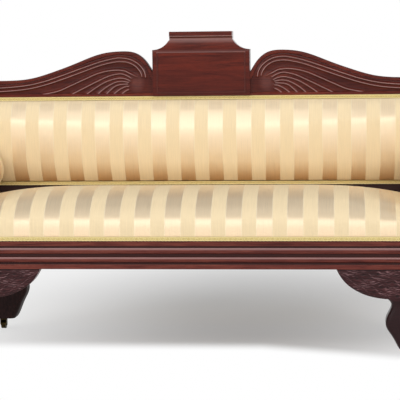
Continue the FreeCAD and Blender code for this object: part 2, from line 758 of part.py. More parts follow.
leg_screws = []
for y in (rail_back - rail_thick / 2 + leg_screw_shift, (back_front + back_rear) / 2):
    for x in (leg_x - 1.5 * leg_screw_spread, leg_x + 0.5 * leg_screw_spread):
        top = V(x, y, rail_top - leg_screw_sink)
        one = screw(leg_screw_length, 0.0).mirror(V(0, 0, 0), V(0, 0, 1))
        one.translate(top)
        leg_screws += [one, mirror_x(one)]
        sink = rod(0, 0, -leg_screw_sink - 1, 0, screw_head + screw_clear)
        hole = screw(leg_screw_length, screw_clear).fuse(sink)
        hole = hole.mirror(V(0, 0, 0), V(0, 0, 1))
        hole.translate(top)
        front_rail = front_rail.cut(hole).cut(mirror_x(hole))
        rear_rail = rear_rail.cut(hole).cut(mirror_x(hole))
        front_leg = front_leg.cut(hole)
        rear_leg = rear_leg.cut(hole)

save("front_seat_rail", front_rail)
save("rear_seat_rail", rear_rail)
save_pair("end_rail", end_rail)
save("seat_cross_rails", Part.makeCompound(cross_rails))
save("corner_blocks", Part.makeCompound(blocks))
save_pair("front_leg", front_leg)
save_pair("rear_leg", rear_leg)
save_pair("wing_bracket", wing)
save_pair("arm_front", arm_front)
save_pair("arm_rear", arm_rear)
save_pair("arm_roll", arm_roll)
save_pair("arm_rosette", rosette)
save_pair("arm_pad", arm_pad)
save_pair("arm_cover", arm_cover)
save_pair("back_stile", back_stile)
save("back_top_rail", back_top)
save("back_bottom_rail", back_bottom)
save("back_muntins", Part.makeCompound(muntins))
save_pair("crest_scroll", crest_scroll)
save("crest_tablet", tablet)
save("tablet_cap", tablet_cap)
save("tablet_bead", tablet_bead)
save("back_pad", back_pad)
save("back_webbing", Part.makeCompound(back_straps))
save("back_cover", back_cover)
save("back_gimp_bottom", back_gimps[0])
save("back_gimp_top", back_gimps[1])
save("seat_webbing", Part.makeCompound(seat_straps))
save("seat_hessian", hessian)
save("seat_pad", seat_pad)
save("seat_gimp", seat_gimp)
save("bolster_left", bolster(-bolster_x))
save("bolster_right", bolster(bolster_x))
save("caster_sockets", Part.makeCompound(sockets))
save("crest_screws", Part.makeCompound(crest_screws))
save("leg_screws", Part.makeCompound(leg_screws))
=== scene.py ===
import bmesh
import bpy
import math
import numpy as np
from functools import partial
from mathutils import Matrix, Vector
from mathutils.bvhtree import BVHTree


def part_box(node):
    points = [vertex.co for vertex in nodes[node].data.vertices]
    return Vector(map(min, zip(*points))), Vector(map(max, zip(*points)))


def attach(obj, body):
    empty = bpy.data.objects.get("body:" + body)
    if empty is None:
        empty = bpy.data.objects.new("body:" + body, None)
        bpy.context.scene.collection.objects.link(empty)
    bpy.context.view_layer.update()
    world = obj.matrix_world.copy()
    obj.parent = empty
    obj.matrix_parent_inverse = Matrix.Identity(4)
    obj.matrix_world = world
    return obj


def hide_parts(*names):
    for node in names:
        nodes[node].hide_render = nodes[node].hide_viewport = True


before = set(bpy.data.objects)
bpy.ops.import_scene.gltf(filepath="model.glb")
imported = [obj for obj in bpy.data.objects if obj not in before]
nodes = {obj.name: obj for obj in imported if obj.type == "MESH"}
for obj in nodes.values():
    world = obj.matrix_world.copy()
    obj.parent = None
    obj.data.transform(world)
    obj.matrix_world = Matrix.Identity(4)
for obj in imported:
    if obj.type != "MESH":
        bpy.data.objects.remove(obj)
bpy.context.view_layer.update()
scene = bpy.context.scene
mm = 0.001
sides = {"left": -1, "right": 1}
print("frame loaded:", len(nodes), "nodes")


def srgb(hexText):
    parts = [int(hexText[i:i + 2], 16) / 255 for i in (1, 3, 5)]
    return tuple(c / 12.92 if c <= 0.04045 else ((c + 0.055) / 1.055) ** 2.4 for c in parts) + (1.0,)


# links a node's inputs to sockets, or to other nodes' Fac or first output
def wire(node, links):
    for key, source in links.items():
        if isinstance(source, bpy.types.Node):
            source = source.outputs["Fac" if "Fac" in source.outputs else 0]
        node.id_data.links.new(source, node.inputs[key])


# keeps a share between 0 and 1
def held01(share):
    return min(1.0, max(0.0, share))


# adds one node, its kind with any operation after a space, sets its sockets or properties, wires its inputs
def addNode(tree, kind, settings=None, links=None):
    kind, _, operation = kind.partition(" ")
    node = tree.nodes.new("ShaderNode" + kind)
    if operation:
        node.operation = operation
    for key, value in (settings or {}).items():
        if str(value).startswith("#"):
            value = srgb(value)
        if key == "ramp":
            marks = node.color_ramp.elements
            while len(marks) < len(value):
                marks.new(0.5)
            for mark, (place, colour) in zip(marks, value):
                mark.position = place
                mark.color = srgb(colour)
        elif isinstance(key, int) or key in node.inputs:
            node.inputs[key].default_value = value
        else:
            setattr(node, key, value)
    wire(node, links or {})
    return node


# clears the nodes of a material or of the world, and gives what adds new ones there
def bareNodes(owner):
    owner.use_nodes = True
    owner.node_tree.nodes.clear()
    return partial(addNode, owner.node_tree)


def startMaterial(name, settings):
    material = bpy.data.materials.new(name)
    add = bareNodes(material)
    shader = add("BsdfPrincipled", settings)
    add("OutputMaterial", links={"Surface": shader})
    return material, add, shader, add("TexCoord").outputs["Object"]


# Mahogany under shellac: long dark pores in a red-brown ground, glossy on the flats, dull and painted darker
# in the hollows as shade, and paler on the arrises, partly rubbed wear and partly painted highlight. Sizes in
# mm: pores 0.3 wide, drawn 1.1 so that they show
def mahogany(name, look):
    material, add, shader, coords = startMaterial(name, {
        "Coat Weight": look["coat"], "Coat Roughness": 0.1, "IOR": 1.5, "Specular IOR Level": look["gloss"]})
    along = look["along"]
    scales = []
    for run, across in ((90, 3.6), (380, 46), (16, 1.1)):
        scales.append(tuple(1 / ((run if i == along else across) * mm) for i in range(3)))
    noises = []
    for scale, detail, warp in zip(scales, (3.0, 2.0, 1.0), (0.5, look["warp"], 0.2)):
        place = add("Mapping", {"Scale": scale, "Rotation": look.get("turn", (0, 0, 0))},
                    {"Vector": coords})
        noises.append(add("TexNoise", {"Scale": 1.0, "Detail": detail, "Distortion": warp},
                              {"Vector": place}))
    streak = add("Math MULTIPLY", {1: look["streak"]}, {0: noises[0]})
    figure = add("Math MULTIPLY_ADD", {1: 1 - look["streak"]}, {0: noises[1], 2: streak})
    ground = add("ValToRGB", {"ramp": [(0.34, look["dark"]), (0.5, look["mid"]), (0.68, look["light"])]},
                 {0: figure})
    pore = add("MapRange", {"From Min": 0.3, "From Max": 0.5, "To Min": 0.72, "To Max": 1.0},
               {"Value": noises[2]})
    pored = add("MixRGB", {"blend_type": "MULTIPLY", "Fac": 1.0}, {"Color1": ground, "Color2": pore})
    hollow, arris, stipple = (add("Attribute", {"attribute_name": word})
                              for word in ("hollow", "arris", "stipple"))
    # painted shade: a darker colour is mixed in by the first attribute, and a paler one by the second, rubbed
    # wear on eased edges and painted highlight on ridges and reeds
    sunk = add("MixRGB", {"Color2": look["hollow"]}, {"Fac": hollow, "Color1": pored})
    worn = add("MixRGB", {"Color2": look["rubAndHighlight"]}, {"Fac": arris, "Color1": sunk})
    dull = add("Math MULTIPLY_ADD", {1: 0.07, 2: look["rough"]}, {0: hollow})
    rough = add("Math MULTIPLY_ADD", {1: 0.1}, {0: noises[0], 2: dull})
    # punched ground: dots 2.6 mm apart
    punch = add("TexVoronoi", {"Scale": 1 / (2.6 * mm)}, {"Vector": coords})
    dots = add("Math MULTIPLY", links={0: punch.outputs["Distance"], 1: stipple})
    height = add("Math MULTIPLY_ADD", {1: look["grain"]}, {0: noises[2], 2: dots})
    bump = add("Bump", {"Strength": 0.6, "Distance": 0.0006}, {"Height": height})
    wire(shader, {"Base Color": worn, "Roughness": rough, "Normal": bump})
    return material


# the shade colour below is painted into hollows and under ridges; the rubbed colour, on arrises, stands for
# wear and painted highlight
showWood = {"along": 0, "streak": 0.6, "warp": 0.8, "dark": "#451610", "mid": "#60241a", "light": "#7a3321",
            "hollow": "#431712", "rubAndHighlight": "#b08d8a", "rough": 0.13, "coat": 0.05, "gloss": 0.13, "grain": 0.012}
polishedMahogany = mahogany("shellacked_mahogany", showWood)
uprightMahogany = mahogany("shellacked_mahogany_upright", {**showWood, "along": 2})
armMahogany = mahogany("shellacked_mahogany_arm", {**showWood, "along": 2, "warp": 1.4})
sideMahogany = mahogany("shellacked_mahogany_side", {**showWood, "along": 1})
# the crest's flutes take a darker painted shade
crestMahogany = mahogany("shellacked_mahogany_crest", {**showWood, "hollow": "#33120f"})
# the back's bottom rail, in the seat's shade, is painted brown-black all over as shade, and left dull
shadowedMahogany = mahogany("mahogany_in_painted_shade", {**showWood, "dark": "#332020", "mid": "#3b2929",
                                               "light": "#453030", "hollow": "#382727", "rubAndHighlight": "#4a3838",
                                               "rough": 0.4})
# the front rail, handled most, keeps the brightest polish; its colours are a touch paler and more mauve, a
# painted reflection
railMahogany = mahogany("bright_shellacked_mahogany", {
    **showWood, "mid": "#652a22", "light": "#7e3f31", "rough": 0.1, "gloss": 0.18, "hollow": "#33110d"})
# crotch veneer: the figure breaks into slanting flames
flameMahogany = mahogany("flame_mahogany_veneer", {
    **showWood, "streak": 0.35, "warp": 2.6, "turn": (0, 0.55, 0), "dark": "#4a1710", "mid": "#5f2217",
    "light": "#75291a", "rough": 0.12})
# carved work is painted with shade in its hollows and highlights on its crests, on a greyer ground
carvedMahogany = mahogany("waxed_carved_mahogany", {**showWood, "dark": "#3d1c1d", "mid": "#50282a",
                                                    "light": "#633537", "hollow": "#1c0d0e",
                                                    "rubAndHighlight": "#a58082", "rough": 0.2, "coat": 0.0,
                                                    "gloss": 0.16, "grain": 0.04})
legMahogany = mahogany("darkened_mahogany", {
    **showWood, "along": 2, "dark": "#1f1212", "mid": "#2b1a19", "light": "#3a2422", "hollow": "#130b0b",
    "rubAndHighlight": "#3a2726", "rough": 0.5, "coat": 0.0, "gloss": 0.12, "grain": 0.03})
# unpolished tulip poplar for the hidden frame: pale, dry and even
poplarLook = {"along": 0, "streak": 0.7, "warp": 0.6, "dark": "#8a6a48", "mid": "#a68660", "light": "#b89a70",
              "hollow": "#6a5038", "rubAndHighlight": "#c2a884", "rough": 0.6, "coat": 0.0, "gloss": 0.4, "grain": 0.16}
tulipPoplar = mahogany("unpolished_tulip_poplar", poplarLook)
sidePoplar = mahogany("unpolished_tulip_poplar_side", {**poplarLook, "along": 1})
print("woods mixed")

stripe = {"repeat": 88.4, "satinShare": 0.515, "edge": 0.6, "matte": "#f5dfb6", "satin": "#f7e0ba",
          "line": "#fbeccb", "flash": 0.8, "gloss": 0.8}


# Cotton and silk stripe: bands of dull rib weave and of satin, which flashes ivory where it faces the light
# and falls to tan where it turns away. Warp threads are 0.25 mm apart, drawn 1.3 mm so that they show.
# The bands follow the attribute "across", which the pieces below write with the cloth's own pull
def stripedSatin(name, axis):
    material, add, shader, coords = startMaterial(name, {
        "IOR": 1.55, "Coat IOR": 2.2, "Coat Roughness": 0.42, "Sheen Weight": 0.08, "Sheen Roughness": 0.4,
        "Sheen Tint": "#fff0d4"})
    across = add("Attribute", {"attribute_name": "across"})
    turns = add("Math MULTIPLY", {1: 1 / (stripe["repeat"] * mm)}, {0: across})
    place = add("Math PINGPONG", {1: 0.5}, {0: turns})
    limit = 0.5 - stripe["satinShare"] / 2
    satin = add("Math GREATER_THAN", {1: limit}, {0: place})
    line = add("Math COMPARE", {1: limit, 2: stripe["edge"] / stripe["repeat"]}, {0: place})
    warp = add("Mapping", {"Scale": tuple(1 / ((1.3 if i == axis else 70) * mm) for i in range(3))},
               {"Vector": coords})
    weft = add("Mapping", {"Scale": tuple(1 / ((40 if i == axis else 1.5) * mm) for i in range(3))},
               {"Vector": coords})
    warpNoise = add("TexNoise", {"Scale": 1.0, "Detail": 2.0}, {"Vector": warp})
    weftNoise = add("TexNoise", {"Scale": 1.0, "Detail": 1.0}, {"Vector": weft})
    dull = add("MixRGB", {"Color1": stripe["matte"], "Color2": stripe["satin"]}, {"Fac": satin})
    edged = add("MixRGB", {"Color2": stripe["line"]}, {"Fac": line, "Color1": dull})
    # painted shade low on the pads, deeper on the satin: in the crease at the back's foot and on the lower
    # front of the seat
    soil = add("Attribute", {"attribute_name": "soil"})
    shadeTint = add("MixRGB", {"Color1": "#e8e2d8", "Color2": "#d4bea6"}, {"Fac": satin})
    shaded = add("MixRGB", {"blend_type": "MULTIPLY"}, {"Fac": soil, "Color1": edged, "Color2": shadeTint})
    shade = add("MapRange", {"From Min": 0.3, "From Max": 0.7, "To Min": 0.95, "To Max": 1.04},
                {"Value": warpNoise})
    cloth = add("MixRGB", {"blend_type": "MULTIPLY", "Fac": 1.0}, {"Color1": shaded, "Color2": shade})
    rough = add("MapRange", {"To Min": 0.82, "To Max": 0.5}, {"Value": satin})
    rougher = add("Math MULTIPLY_ADD", {1: 0.08}, {0: warpNoise, 2: rough})
    # satin floats mirror the light in a broad white sheen, with a share of the thread's own colour
    # the painted low shade also takes some of the satin's gloss away
    unshaded = add("MapRange", {"To Min": stripe["gloss"], "To Max": 0.0}, {"Value": soil})
    # and lose it where the cover has worn thin
    worn = add("Attribute", {"attribute_name": "worn"})
    whole = add("Math MULTIPLY_ADD", {1: -1.0, 2: 1.0}, {0: worn})
    floats = add("Math MULTIPLY", links={0: satin, 1: whole})
    gloss = add("Math MULTIPLY", links={0: floats, 1: unshaded})
    flash = add("Math MULTIPLY", {1: stripe["flash"]}, {0: floats})
    threads = add("MixRGB", {}, {"Fac": satin, "Color1": weftNoise, "Color2": warpNoise})
    bump = add("Bump", {"Strength": 0.2, "Distance": 0.0005}, {"Height": threads})
    wire(shader, {"Base Color": cloth, "Roughness": rougher, "Coat Weight": gloss, "Metallic": flash,
                  "Normal": bump})
    return material


longStripe = stripedSatin("striped_satin", 0)
crossStripe = stripedSatin("striped_satin_cross", 1)


# writes how far across the bands each point of the cloth lies: shift in mm, stretch as a factor, skew along
# y, and "foot", a pull toward the middle that grows from one height down to another.
# the painted low shade and "worn" each grow from their first height to their second; heights in m
def layStripes(bm, lay):
    across, soil, worn = newLayers(bm, "across", "soil", "worn")
    high, low, pull = lay.get("foot", (1.0, 0.0, 0.0))
    unshaded, darkest = lay.get("soil", (0.0, -1.0))
    fresh, thin = lay.get("worn", (8.0, 9.0))
    for vert in bm.verts:
        z = vert.co.z
        vert[soil] = held01((unshaded - z) / (unshaded - darkest))
        vert[worn] = held01((z - fresh) / (thin - fresh))
        down = held01((high - z) / (high - low))
        reach = (vert.co[lay["axis"]] - lay.get("shift", 0.0) * mm) * lay.get("stretch", 1.0)
        vert[across] = reach * (1 + pull * down ** 2) + lay.get("skew", 0.0) * vert.co.y


# Plain weaves seen close: over-and-under threads, a fibre haze and a dry surface
def plainWeave(name, look):
    material, add, shader, coords = startMaterial(name, {"Specular IOR Level": 0.25, "Sheen Weight": 0.1})
    waves = []
    for direction in ("X", "Y"):
        waves.append(add("TexWave", {
            "bands_direction": direction, "Scale": 0.314 / (look["pitch"] * mm), "Distortion": 0.6,
            "Detail": 1.0}, {"Vector": coords}))
    knit = add("Math MULTIPLY", links={0: waves[0], 1: waves[1]})
    haze = add("TexNoise", {"Scale": 1 / (14 * mm), "Detail": 3.0}, {"Vector": coords})
    mixed = add("Math MULTIPLY_ADD", {1: 0.6}, {0: haze, 2: knit})
    colour = add("ValToRGB", {"ramp": [(0.2, look["dark"]), (0.6, look["mid"]), (1.0, look["light"])]},
                 {0: mixed})
    rough = add("MapRange", {"To Min": 0.8, "To Max": 0.95}, {"Value": haze})
    bump = add("Bump", {"Strength": 0.5, "Distance": 0.0008}, {"Height": knit})
    wire(shader, {"Base Color": colour, "Roughness": rough, "Normal": bump})
    return material


juteWebbing = plainWeave("jute_webbing", {"pitch": 3.0, "dark": "#6a5334", "mid": "#94774d",
                                          "light": "#b0935f"})
hessianCloth = plainWeave("hessian", {"pitch": 4.0, "dark": "#6d5a3c", "mid": "#98805a", "light": "#b59c70"})


# Gimp: a flat braid of gold cotton and silk cords, paler on the cord tops and olive between them, partly its
# own two golds and partly painted highlight and shade
def gimpMaterial():
    material, add, shader, coords = startMaterial("gold_gimp_braid", {
        "Specular IOR Level": 0.5, "Sheen Weight": 0.15})
    cord = add("Attribute", {"attribute_name": "cord"})
    twist = add("TexWave", {"bands_direction": "DIAGONAL", "Scale": 0.314 / (1.6 * mm), "Distortion": 1.0},
                {"Vector": coords})
    colour = add("ValToRGB", {"ramp": [(0.0, "#a38d45"), (0.45, "#dcc06c"), (1.0, "#f8e6a6")]}, {0: cord})
    shade = add("MapRange", {"To Min": 0.86, "To Max": 1.06}, {"Value": twist})
    spun = add("MixRGB", {"blend_type": "MULTIPLY", "Fac": 1.0}, {"Color1": colour, "Color2": shade})
    rough = add("MapRange", {"To Min": 0.62, "To Max": 0.48}, {"Value": cord})
    bump = add("Bump", {"Strength": 0.4, "Distance": 0.0004}, {"Height": twist})
    wire(shader, {"Base Color": spun, "Roughness": rough, "Normal": bump})
    return material


goldGimp = gimpMaterial()


# Cast brass gone brown with age, brighter where floors and hands have rubbed it; and plain steel for screws
def oldMetal(name, look):
    material, add, shader, coords = startMaterial(name, {"Metallic": 1.0})
    cloud = add("TexNoise", {"Scale": 1 / (9 * mm), "Detail": 4.0}, {"Vector": coords})
    arris = add("Attribute", {"attribute_name": "arris"})
    bright = add("Math MULTIPLY_ADD", {1: 0.35}, {0: arris, 2: cloud})
    colour = add("ValToRGB", {"ramp": [(0.3, look["dark"]), (0.6, look["mid"]), (0.9, look["light"])]},
                 {0: bright})
    rough = add("MapRange", {"To Min": 0.55, "To Max": 0.32}, {"Value": cloud})
    bump = add("Bump", {"Strength": 0.2, "Distance": 0.0003}, {"Height": cloud})
    wire(shader, {"Base Color": colour, "Roughness": rough, "Normal": bump})
    return material


agedBrass = oldMetal("aged_cast_brass", {"dark": "#1c160d", "mid": "#3b301b", "light": "#78653a"})
plainSteel = oldMetal("steel_screw", {"dark": "#4a4a4c", "mid": "#77777a", "light": "#9c9ca0"})
print("cloths and metals mixed")


# writes a bmesh as a piece of the object, riding on its body
def finishPiece(bm, name, material, replaced, body="settee_frame", sharpAngle=None):
    mesh = bpy.data.meshes.new(name)
    bm.to_mesh(mesh)
    bm.free()
    piece = bpy.data.objects.new(name, mesh)
    scene.collection.objects.link(piece)
    mesh.materials.append(material)
    for face in mesh.polygons:
        face.use_smooth = True
    if sharpAngle:
        mesh.set_sharp_from_angle(angle=math.radians(sharpAngle))
    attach(piece, body)
    if replaced:
        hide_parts(*replaced)
    return piece


# new number layers on a bmesh's points, which the materials read
def newLayers(bm, *names):
    return [bm.verts.layers.float.new(name) for name in names]


# turns all faces outwards
def faceOut(bm):
    bmesh.ops.recalc_face_normals(bm, faces=bm.faces[:])


# a merged copy of a CAD solid, its flat faces joined up again
def solidCopy(node):
    bm = bmesh.new()
    bm.from_mesh(nodes[node].data)
    bmesh.ops.remove_doubles(bm, verts=bm.verts[:], dist=4e-6)
    bmesh.ops.dissolve_limit(bm, angle_limit=math.radians(0.4), verts=bm.verts[:], edges=bm.edges[:])
    faceOut(bm)
    return bm


# joinery with its edges eased by the plane and rubbed by use
# "tone" lists (mm below the top, painted shade and darkening, painted highlight); "margin" darkens what lies
# within so many mm of either end
def eased(node, material, body="settee_frame", width=1.4, angle=38, groove=0, dark=0.0, tone=None,
          margin=0):
    bm = solidCopy(node)
    rubAndHighlight, darkeningLayer = newLayers(bm, "arris", "hollow")
    sharp = [e for e in bm.edges if len(e.link_faces) == 2 and e.calc_face_angle(0) > math.radians(angle)]
    made = bmesh.ops.bevel(bm, geom=sharp, offset=width * mm, offset_type="OFFSET", segments=2, profile=0.5,
                           affect="EDGES", clamp_overlap=True, material=-1)
    bevelled = set(made["faces"])
    for vert in bm.verts:
        vert[darkeningLayer] = dark
        if all(face in bevelled for face in vert.link_faces):
            vert[rubAndHighlight] = 0.35
    if tone:
        lo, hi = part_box(node)
        cuts = [((0, 0, hi.z - row[0] * mm), (0, 0, 1)) for row in tone]
        cuts += [((end, 0, 0), (1, 0, 0)) for end in (lo.x + margin * mm, hi.x - margin * mm) if margin]
        for place, across in cuts:
            bmesh.ops.bisect_plane(bm, geom=bm.verts[:] + bm.edges[:] + bm.faces[:], dist=1e-5,
                                   plane_co=place, plane_no=across)
        downs, darks, highlights = zip(*tone)
        for vert in bm.verts:
            down = (hi.z - vert.co.z) / mm
            edge = margin and min(vert.co.x - lo.x, hi.x - vert.co.x) < (margin - 0.5) * mm
            vert[darkeningLayer] = max(float(np.interp(down, downs, darks)), 0.55 if edge else 0.0)
            vert[rubAndHighlight] = max(0.5 * vert[rubAndHighlight], float(np.interp(down, downs, highlights)))
    # painted shade in the grooves, and a painted highlight on the reeds' upward faces
    if groove:
        bm.normal_update()
        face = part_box(node)[0].y
        for vert in bm.verts:
            sunk = (vert.co.y - face) / (groove * mm)
            vert[darkeningLayer] = held01((sunk - 0.55) / 0.35) if sunk < 2 else 0.0
            vert[rubAndHighlight] = 0.75 * held01((vert.normal.z - 0.2) / 0.35) if sunk < 0.6 else 0.0
    piece = finishPiece(bm, node + "_eased", material, [node], body, 40)
    tidy = piece.modifiers.new("even normals", "WEIGHTED_NORMAL")
    tidy.keep_sharp = True


# CAD solids copied as one even skin of small faces
def voxelSkin(names, voxel):
    bm = bmesh.new()
    for name in names:
        bm.from_mesh(nodes[name].data)
    bmesh.ops.remove_doubles(bm, verts=bm.verts[:], dist=4e-6)
    mesh = bpy.data.meshes.new("skin")
    bm.to_mesh(mesh)
    bm.free()
    skin = bpy.data.objects.new("skin", mesh)
    scene.collection.objects.link(skin)
    remesh = skin.modifiers.new("skin", "REMESH")
    remesh.mode = "VOXEL"
    remesh.voxel_size = voxel * mm
    bpy.context.view_layer.update()
    made = bpy.data.meshes.new_from_object(skin.evaluated_get(bpy.context.evaluated_depsgraph_get()))
    bpy.data.objects.remove(skin)
    return made


# places and normals of a mesh's points, as two arrays
def meshPoints(mesh):
    place, facing = np.zeros((2, len(mesh.vertices) * 3))
    mesh.vertices.foreach_get("co", place)
    mesh.vertices.foreach_get("normal", facing)
    return place.reshape(-1, 3), facing.reshape(-1, 3)


# closes a carved front: its rim goes straight back to the plane y, and one flat face fills the back
def closeBack(bm, y):
    rim = [e for e in bm.edges if e.is_boundary]
    made = bmesh.ops.extrude_edge_only(bm, edges=rim)["geom"]
    for item in made:
        if isinstance(item, bmesh.types.BMVert):
            item.co.y = y
    bmesh.ops.edgeloop_fill(bm, edges=[e for e in made if isinstance(e,
                                                                     bmesh.types.BMEdge) and e.is_boundary])
    faceOut(bm)


# a CAD solid's skin, to be met by rays
def skinTree(node):
    mesh = nodes[node].data
    return BVHTree.FromPolygons([v.co for v in mesh.vertices], [p.vertices for p in mesh.polygons])


# points along a smooth line through a few control points
def smoothLine(points, steps=12):
    p = np.array([points[0]] + list(points) + [points[-1]], float)
    line = []
    for i in range(1, len(p) - 2):
        for t in np.linspace(0, 1, steps, endpoint=False):
            line.append(0.5 * (2 * p[i] + (p[i + 1] - p[i - 1]) * t
                               + (2 * p[i - 1] - 5 * p[i] + 4 * p[i + 1] - p[i + 2]) * t ** 2
                               + (3 * p[i] - p[i - 1] - 3 * p[i + 1] + p[i + 2]) * t ** 3))
    line.append(p[-1])
    return np.array(line)


# distance of each point to a line of points, how far along it lies, 0 to 1, and how far it hangs below
def lineDistance(points, line):
    best = np.full(len(points), 1e9)
    place = np.zeros(len(points))
    under = np.zeros(len(points))
    for i in range(len(line) - 1):
        a, ab = line[i], line[i + 1] - line[i]
        t = np.clip(((points - a) @ ab) / max(ab @ ab, 1e-9), 0, 1)
        gap = a + t[:, None] * ab - points
        d = np.linalg.norm(gap, axis=1)
        nearer = d < best
        best[nearer] = d[nearer]
        place[nearer] = (i + t[nearer]) / (len(line) - 1)
        under[nearer] = gap[nearer, 1]
    return best, place, under


# Crest scrolls: two reeds run with the top edge and curl into the eye, a fan of flutes opens under them.
# Lines in mm, from the middle of the settee outwards and up from the floor
crest = {
    "cell": 1.3,
    "flute": 4.0,        # depth of a flute
    "flank": 8.5,        # width of a flute's curved side
    "fillet": 0.7,       # half the width left on each ridge
    "plinth": 757.0,     # plain strip under the carving
    "roll": 3.2,         # radius of the rounded top edge
    "shadow": 3.0,       # how far under a ridge its darkest line lies
    "reeds": (((833, 777), (730, 776.5), (638, 778), (560, 784), (500, 796), (440, 815), (380, 836),
               (320, 856), (280, 865.5), (254, 868.3), (225, 864), (200, 851), (184, 834), (176.5, 817),
               (175.4, 805.8)),
              ((833, 765.5), (730, 765), (638, 766.7), (560, 772.5), (500, 784.5), (440, 803), (380, 824),
               (320, 845), (280, 854.5), (254, 857.1), (228, 853.5), (207, 842.5), (194, 828), (188, 816),
               (186.8, 807.8))),
    "fan": (((501, 757), (453, 766.2), (410, 784.2), (367, 803.2), (324, 820.9), (282, 829.6), (245, 828.6),
             (225, 820), (203, 809.2)),
            ((408, 757), (367.5, 776.6), (327.6, 796), (290.6, 812.2), (256.6, 819), (234, 813.2),
             (219.9, 804.7)),
            ((361, 757), (327.8, 779.1), (296.5, 795.7), (262.2, 805), (239.8, 803.4), (224, 796.3)),
            ((326, 757), (302.2, 776), (273.8, 791.1), (251.3, 795.3), (228.6, 792)),
            ((299, 757), (274, 778.6), (254.3, 785.3), (231.5, 786.5)),
            ((275, 757), (257.4, 770), (240.2, 778.3), (228.8, 780)),
            ((250, 757), (238, 765.5), (229, 769.8))),
    "eye": (203.0, 793.0, 27.0, 36.0)}     # its centre and half sizes


def crestScroll(side):
    node = "crest_scroll_" + side
    sign = sides[side]
    lo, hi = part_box(node)
    tree = skinTree(node)
    inner, outer = min(abs(lo.x), abs(hi.x)), max(abs(lo.x), abs(hi.x))
    base, midY = lo.z, (lo.y + hi.y) / 2
    xs = np.linspace(inner + 0.00002, outer - 0.00002, 1400)
    tops = []
    for x in xs:
        hit = tree.ray_cast(Vector((sign * x, midY, hi.z + 0.1)), Vector((0, 0, -1)))[0]
        tops.append(hit.z if hit else base + 0.04)
    tops = np.array(tops)
    lengths = np.concatenate(([0], np.cumsum(np.hypot(np.diff(xs), np.diff(tops)))))
    columns = int(lengths[-1] / (crest["cell"] * mm))
    rows = int((hi.z - base) / (crest["cell"] * mm) * 0.72)
    bm = bmesh.new()
    bmesh.ops.create_grid(bm, x_segments=columns, y_segments=rows, size=0.5)
    grid = np.array([v.co[:2] for v in bm.verts]) + 0.5
    reach = np.interp(grid[:, 0] * lengths[-1], lengths, xs)
    top = np.interp(grid[:, 0] * lengths[-1], lengths, tops)
    high = base + grid[:, 1] * (top - base)
    points = np.column_stack((reach, high)) / mm
    outline = np.column_stack((xs, tops))[::6] / mm
    toTop = lineDistance(points, outline)[0]

    ridge = np.full(len(points), 1e9)
    reeds = [lineDistance(points, smoothLine(line)) for line in crest["reeds"]]
    fan = [lineDistance(points, smoothLine(line)) for line in crest["fan"]]
    shade = np.zeros(len(points))
    for away, place, _ in reeds:
        ridge = np.minimum(ridge, away + 6 * np.clip((place - 0.985) / 0.015, 0, 1))
    for away, _, _ in fan:
        ridge = np.minimum(ridge, away)
    for away, _, under in reeds + fan:
        shade = np.maximum(shade, np.exp(-((away - crest["shadow"]) / 2.0) ** 2) * np.clip(under / 1.5, 0, 1))
    q = np.clip((ridge - crest["fillet"]) / crest["flank"], 0, 1)
    depth = crest["flute"] * np.sin(q * math.pi / 2) ** 0.85
    # the band outside the outer reed stays nearly full thickness and rolls over at the top edge
    band = toTop < reeds[0][0]
    depth = np.where(band, np.minimum(depth, 0.6), depth)
    ex, ez, ew, eh = crest["eye"]
    eye = np.clip(1.6 - np.hypot((points[:, 0] - ex) / ew, (points[:, 1] - ez) / eh) * 1.6, 0, 1)
    eye = np.where(band, 0, eye)
    depth = depth + eye * 0.8
    strip = np.clip((points[:, 1] - crest["plinth"]) / 1.5, 0, 1)
    depth = depth * strip
    roll = crest["roll"]
    edge = np.clip(toTop, 0, roll)
    depth = depth + roll - np.sqrt(roll ** 2 - (roll - edge) ** 2)
    # painted shade: darker with the flutes' depth and in a line under each ridge, less in the stippled eye;
    # painted highlight along the ridges
    hollow = np.maximum(0.55 * np.clip(depth / crest["flute"], 0, 1) ** 1.4, shade * strip) * (1 - 0.5 * eye)
    arris = np.exp(-(ridge / 1.0) ** 2) * strip * (1 - eye) + 0.08 * eye

    shadeAndDarkLayer, highlightLayer, stippleLayer = newLayers(bm, "hollow", "arris", "stipple")
    for i, vert in enumerate(bm.verts):
        vert.co = (sign * reach[i], lo.y + depth[i] * mm, high[i])
        vert[shadeAndDarkLayer] = 0.9 * hollow[i]
        vert[highlightLayer] = 0.9 * arris[i]
        vert[stippleLayer] = eye[i]
    closeBack(bm, hi.y)
    finishPiece(bm, "carved_" + node, crestMahogany, [node], sharpAngle=50)


for side in sides:
    crestScroll(side)
print("crest scrolls carved")

# Feathered brackets and knees: rows of wavy locks sweep from the wing tip over the knee, inside a thin rim.
# Bracket and knee are carved as one surface; lengths in mm
feather = {"rows": 13.0, "waves": ((126.0, 0.4, 0.4), (47.0, 0.24, -0.7), (19.0, 0.14, 1.3)), "depth": 2.2,
           "skin": 1.4, "rim": 5.0,
           # the bracket's lower edge: shares of its length from the tip, and of its drop
           "sweep": ((0, 0.1, 0.235, 0.42, 0.6, 0.8, 1.0), (0.04, 0.29, 0.535, 0.735, 0.868, 0.953, 1.0))}


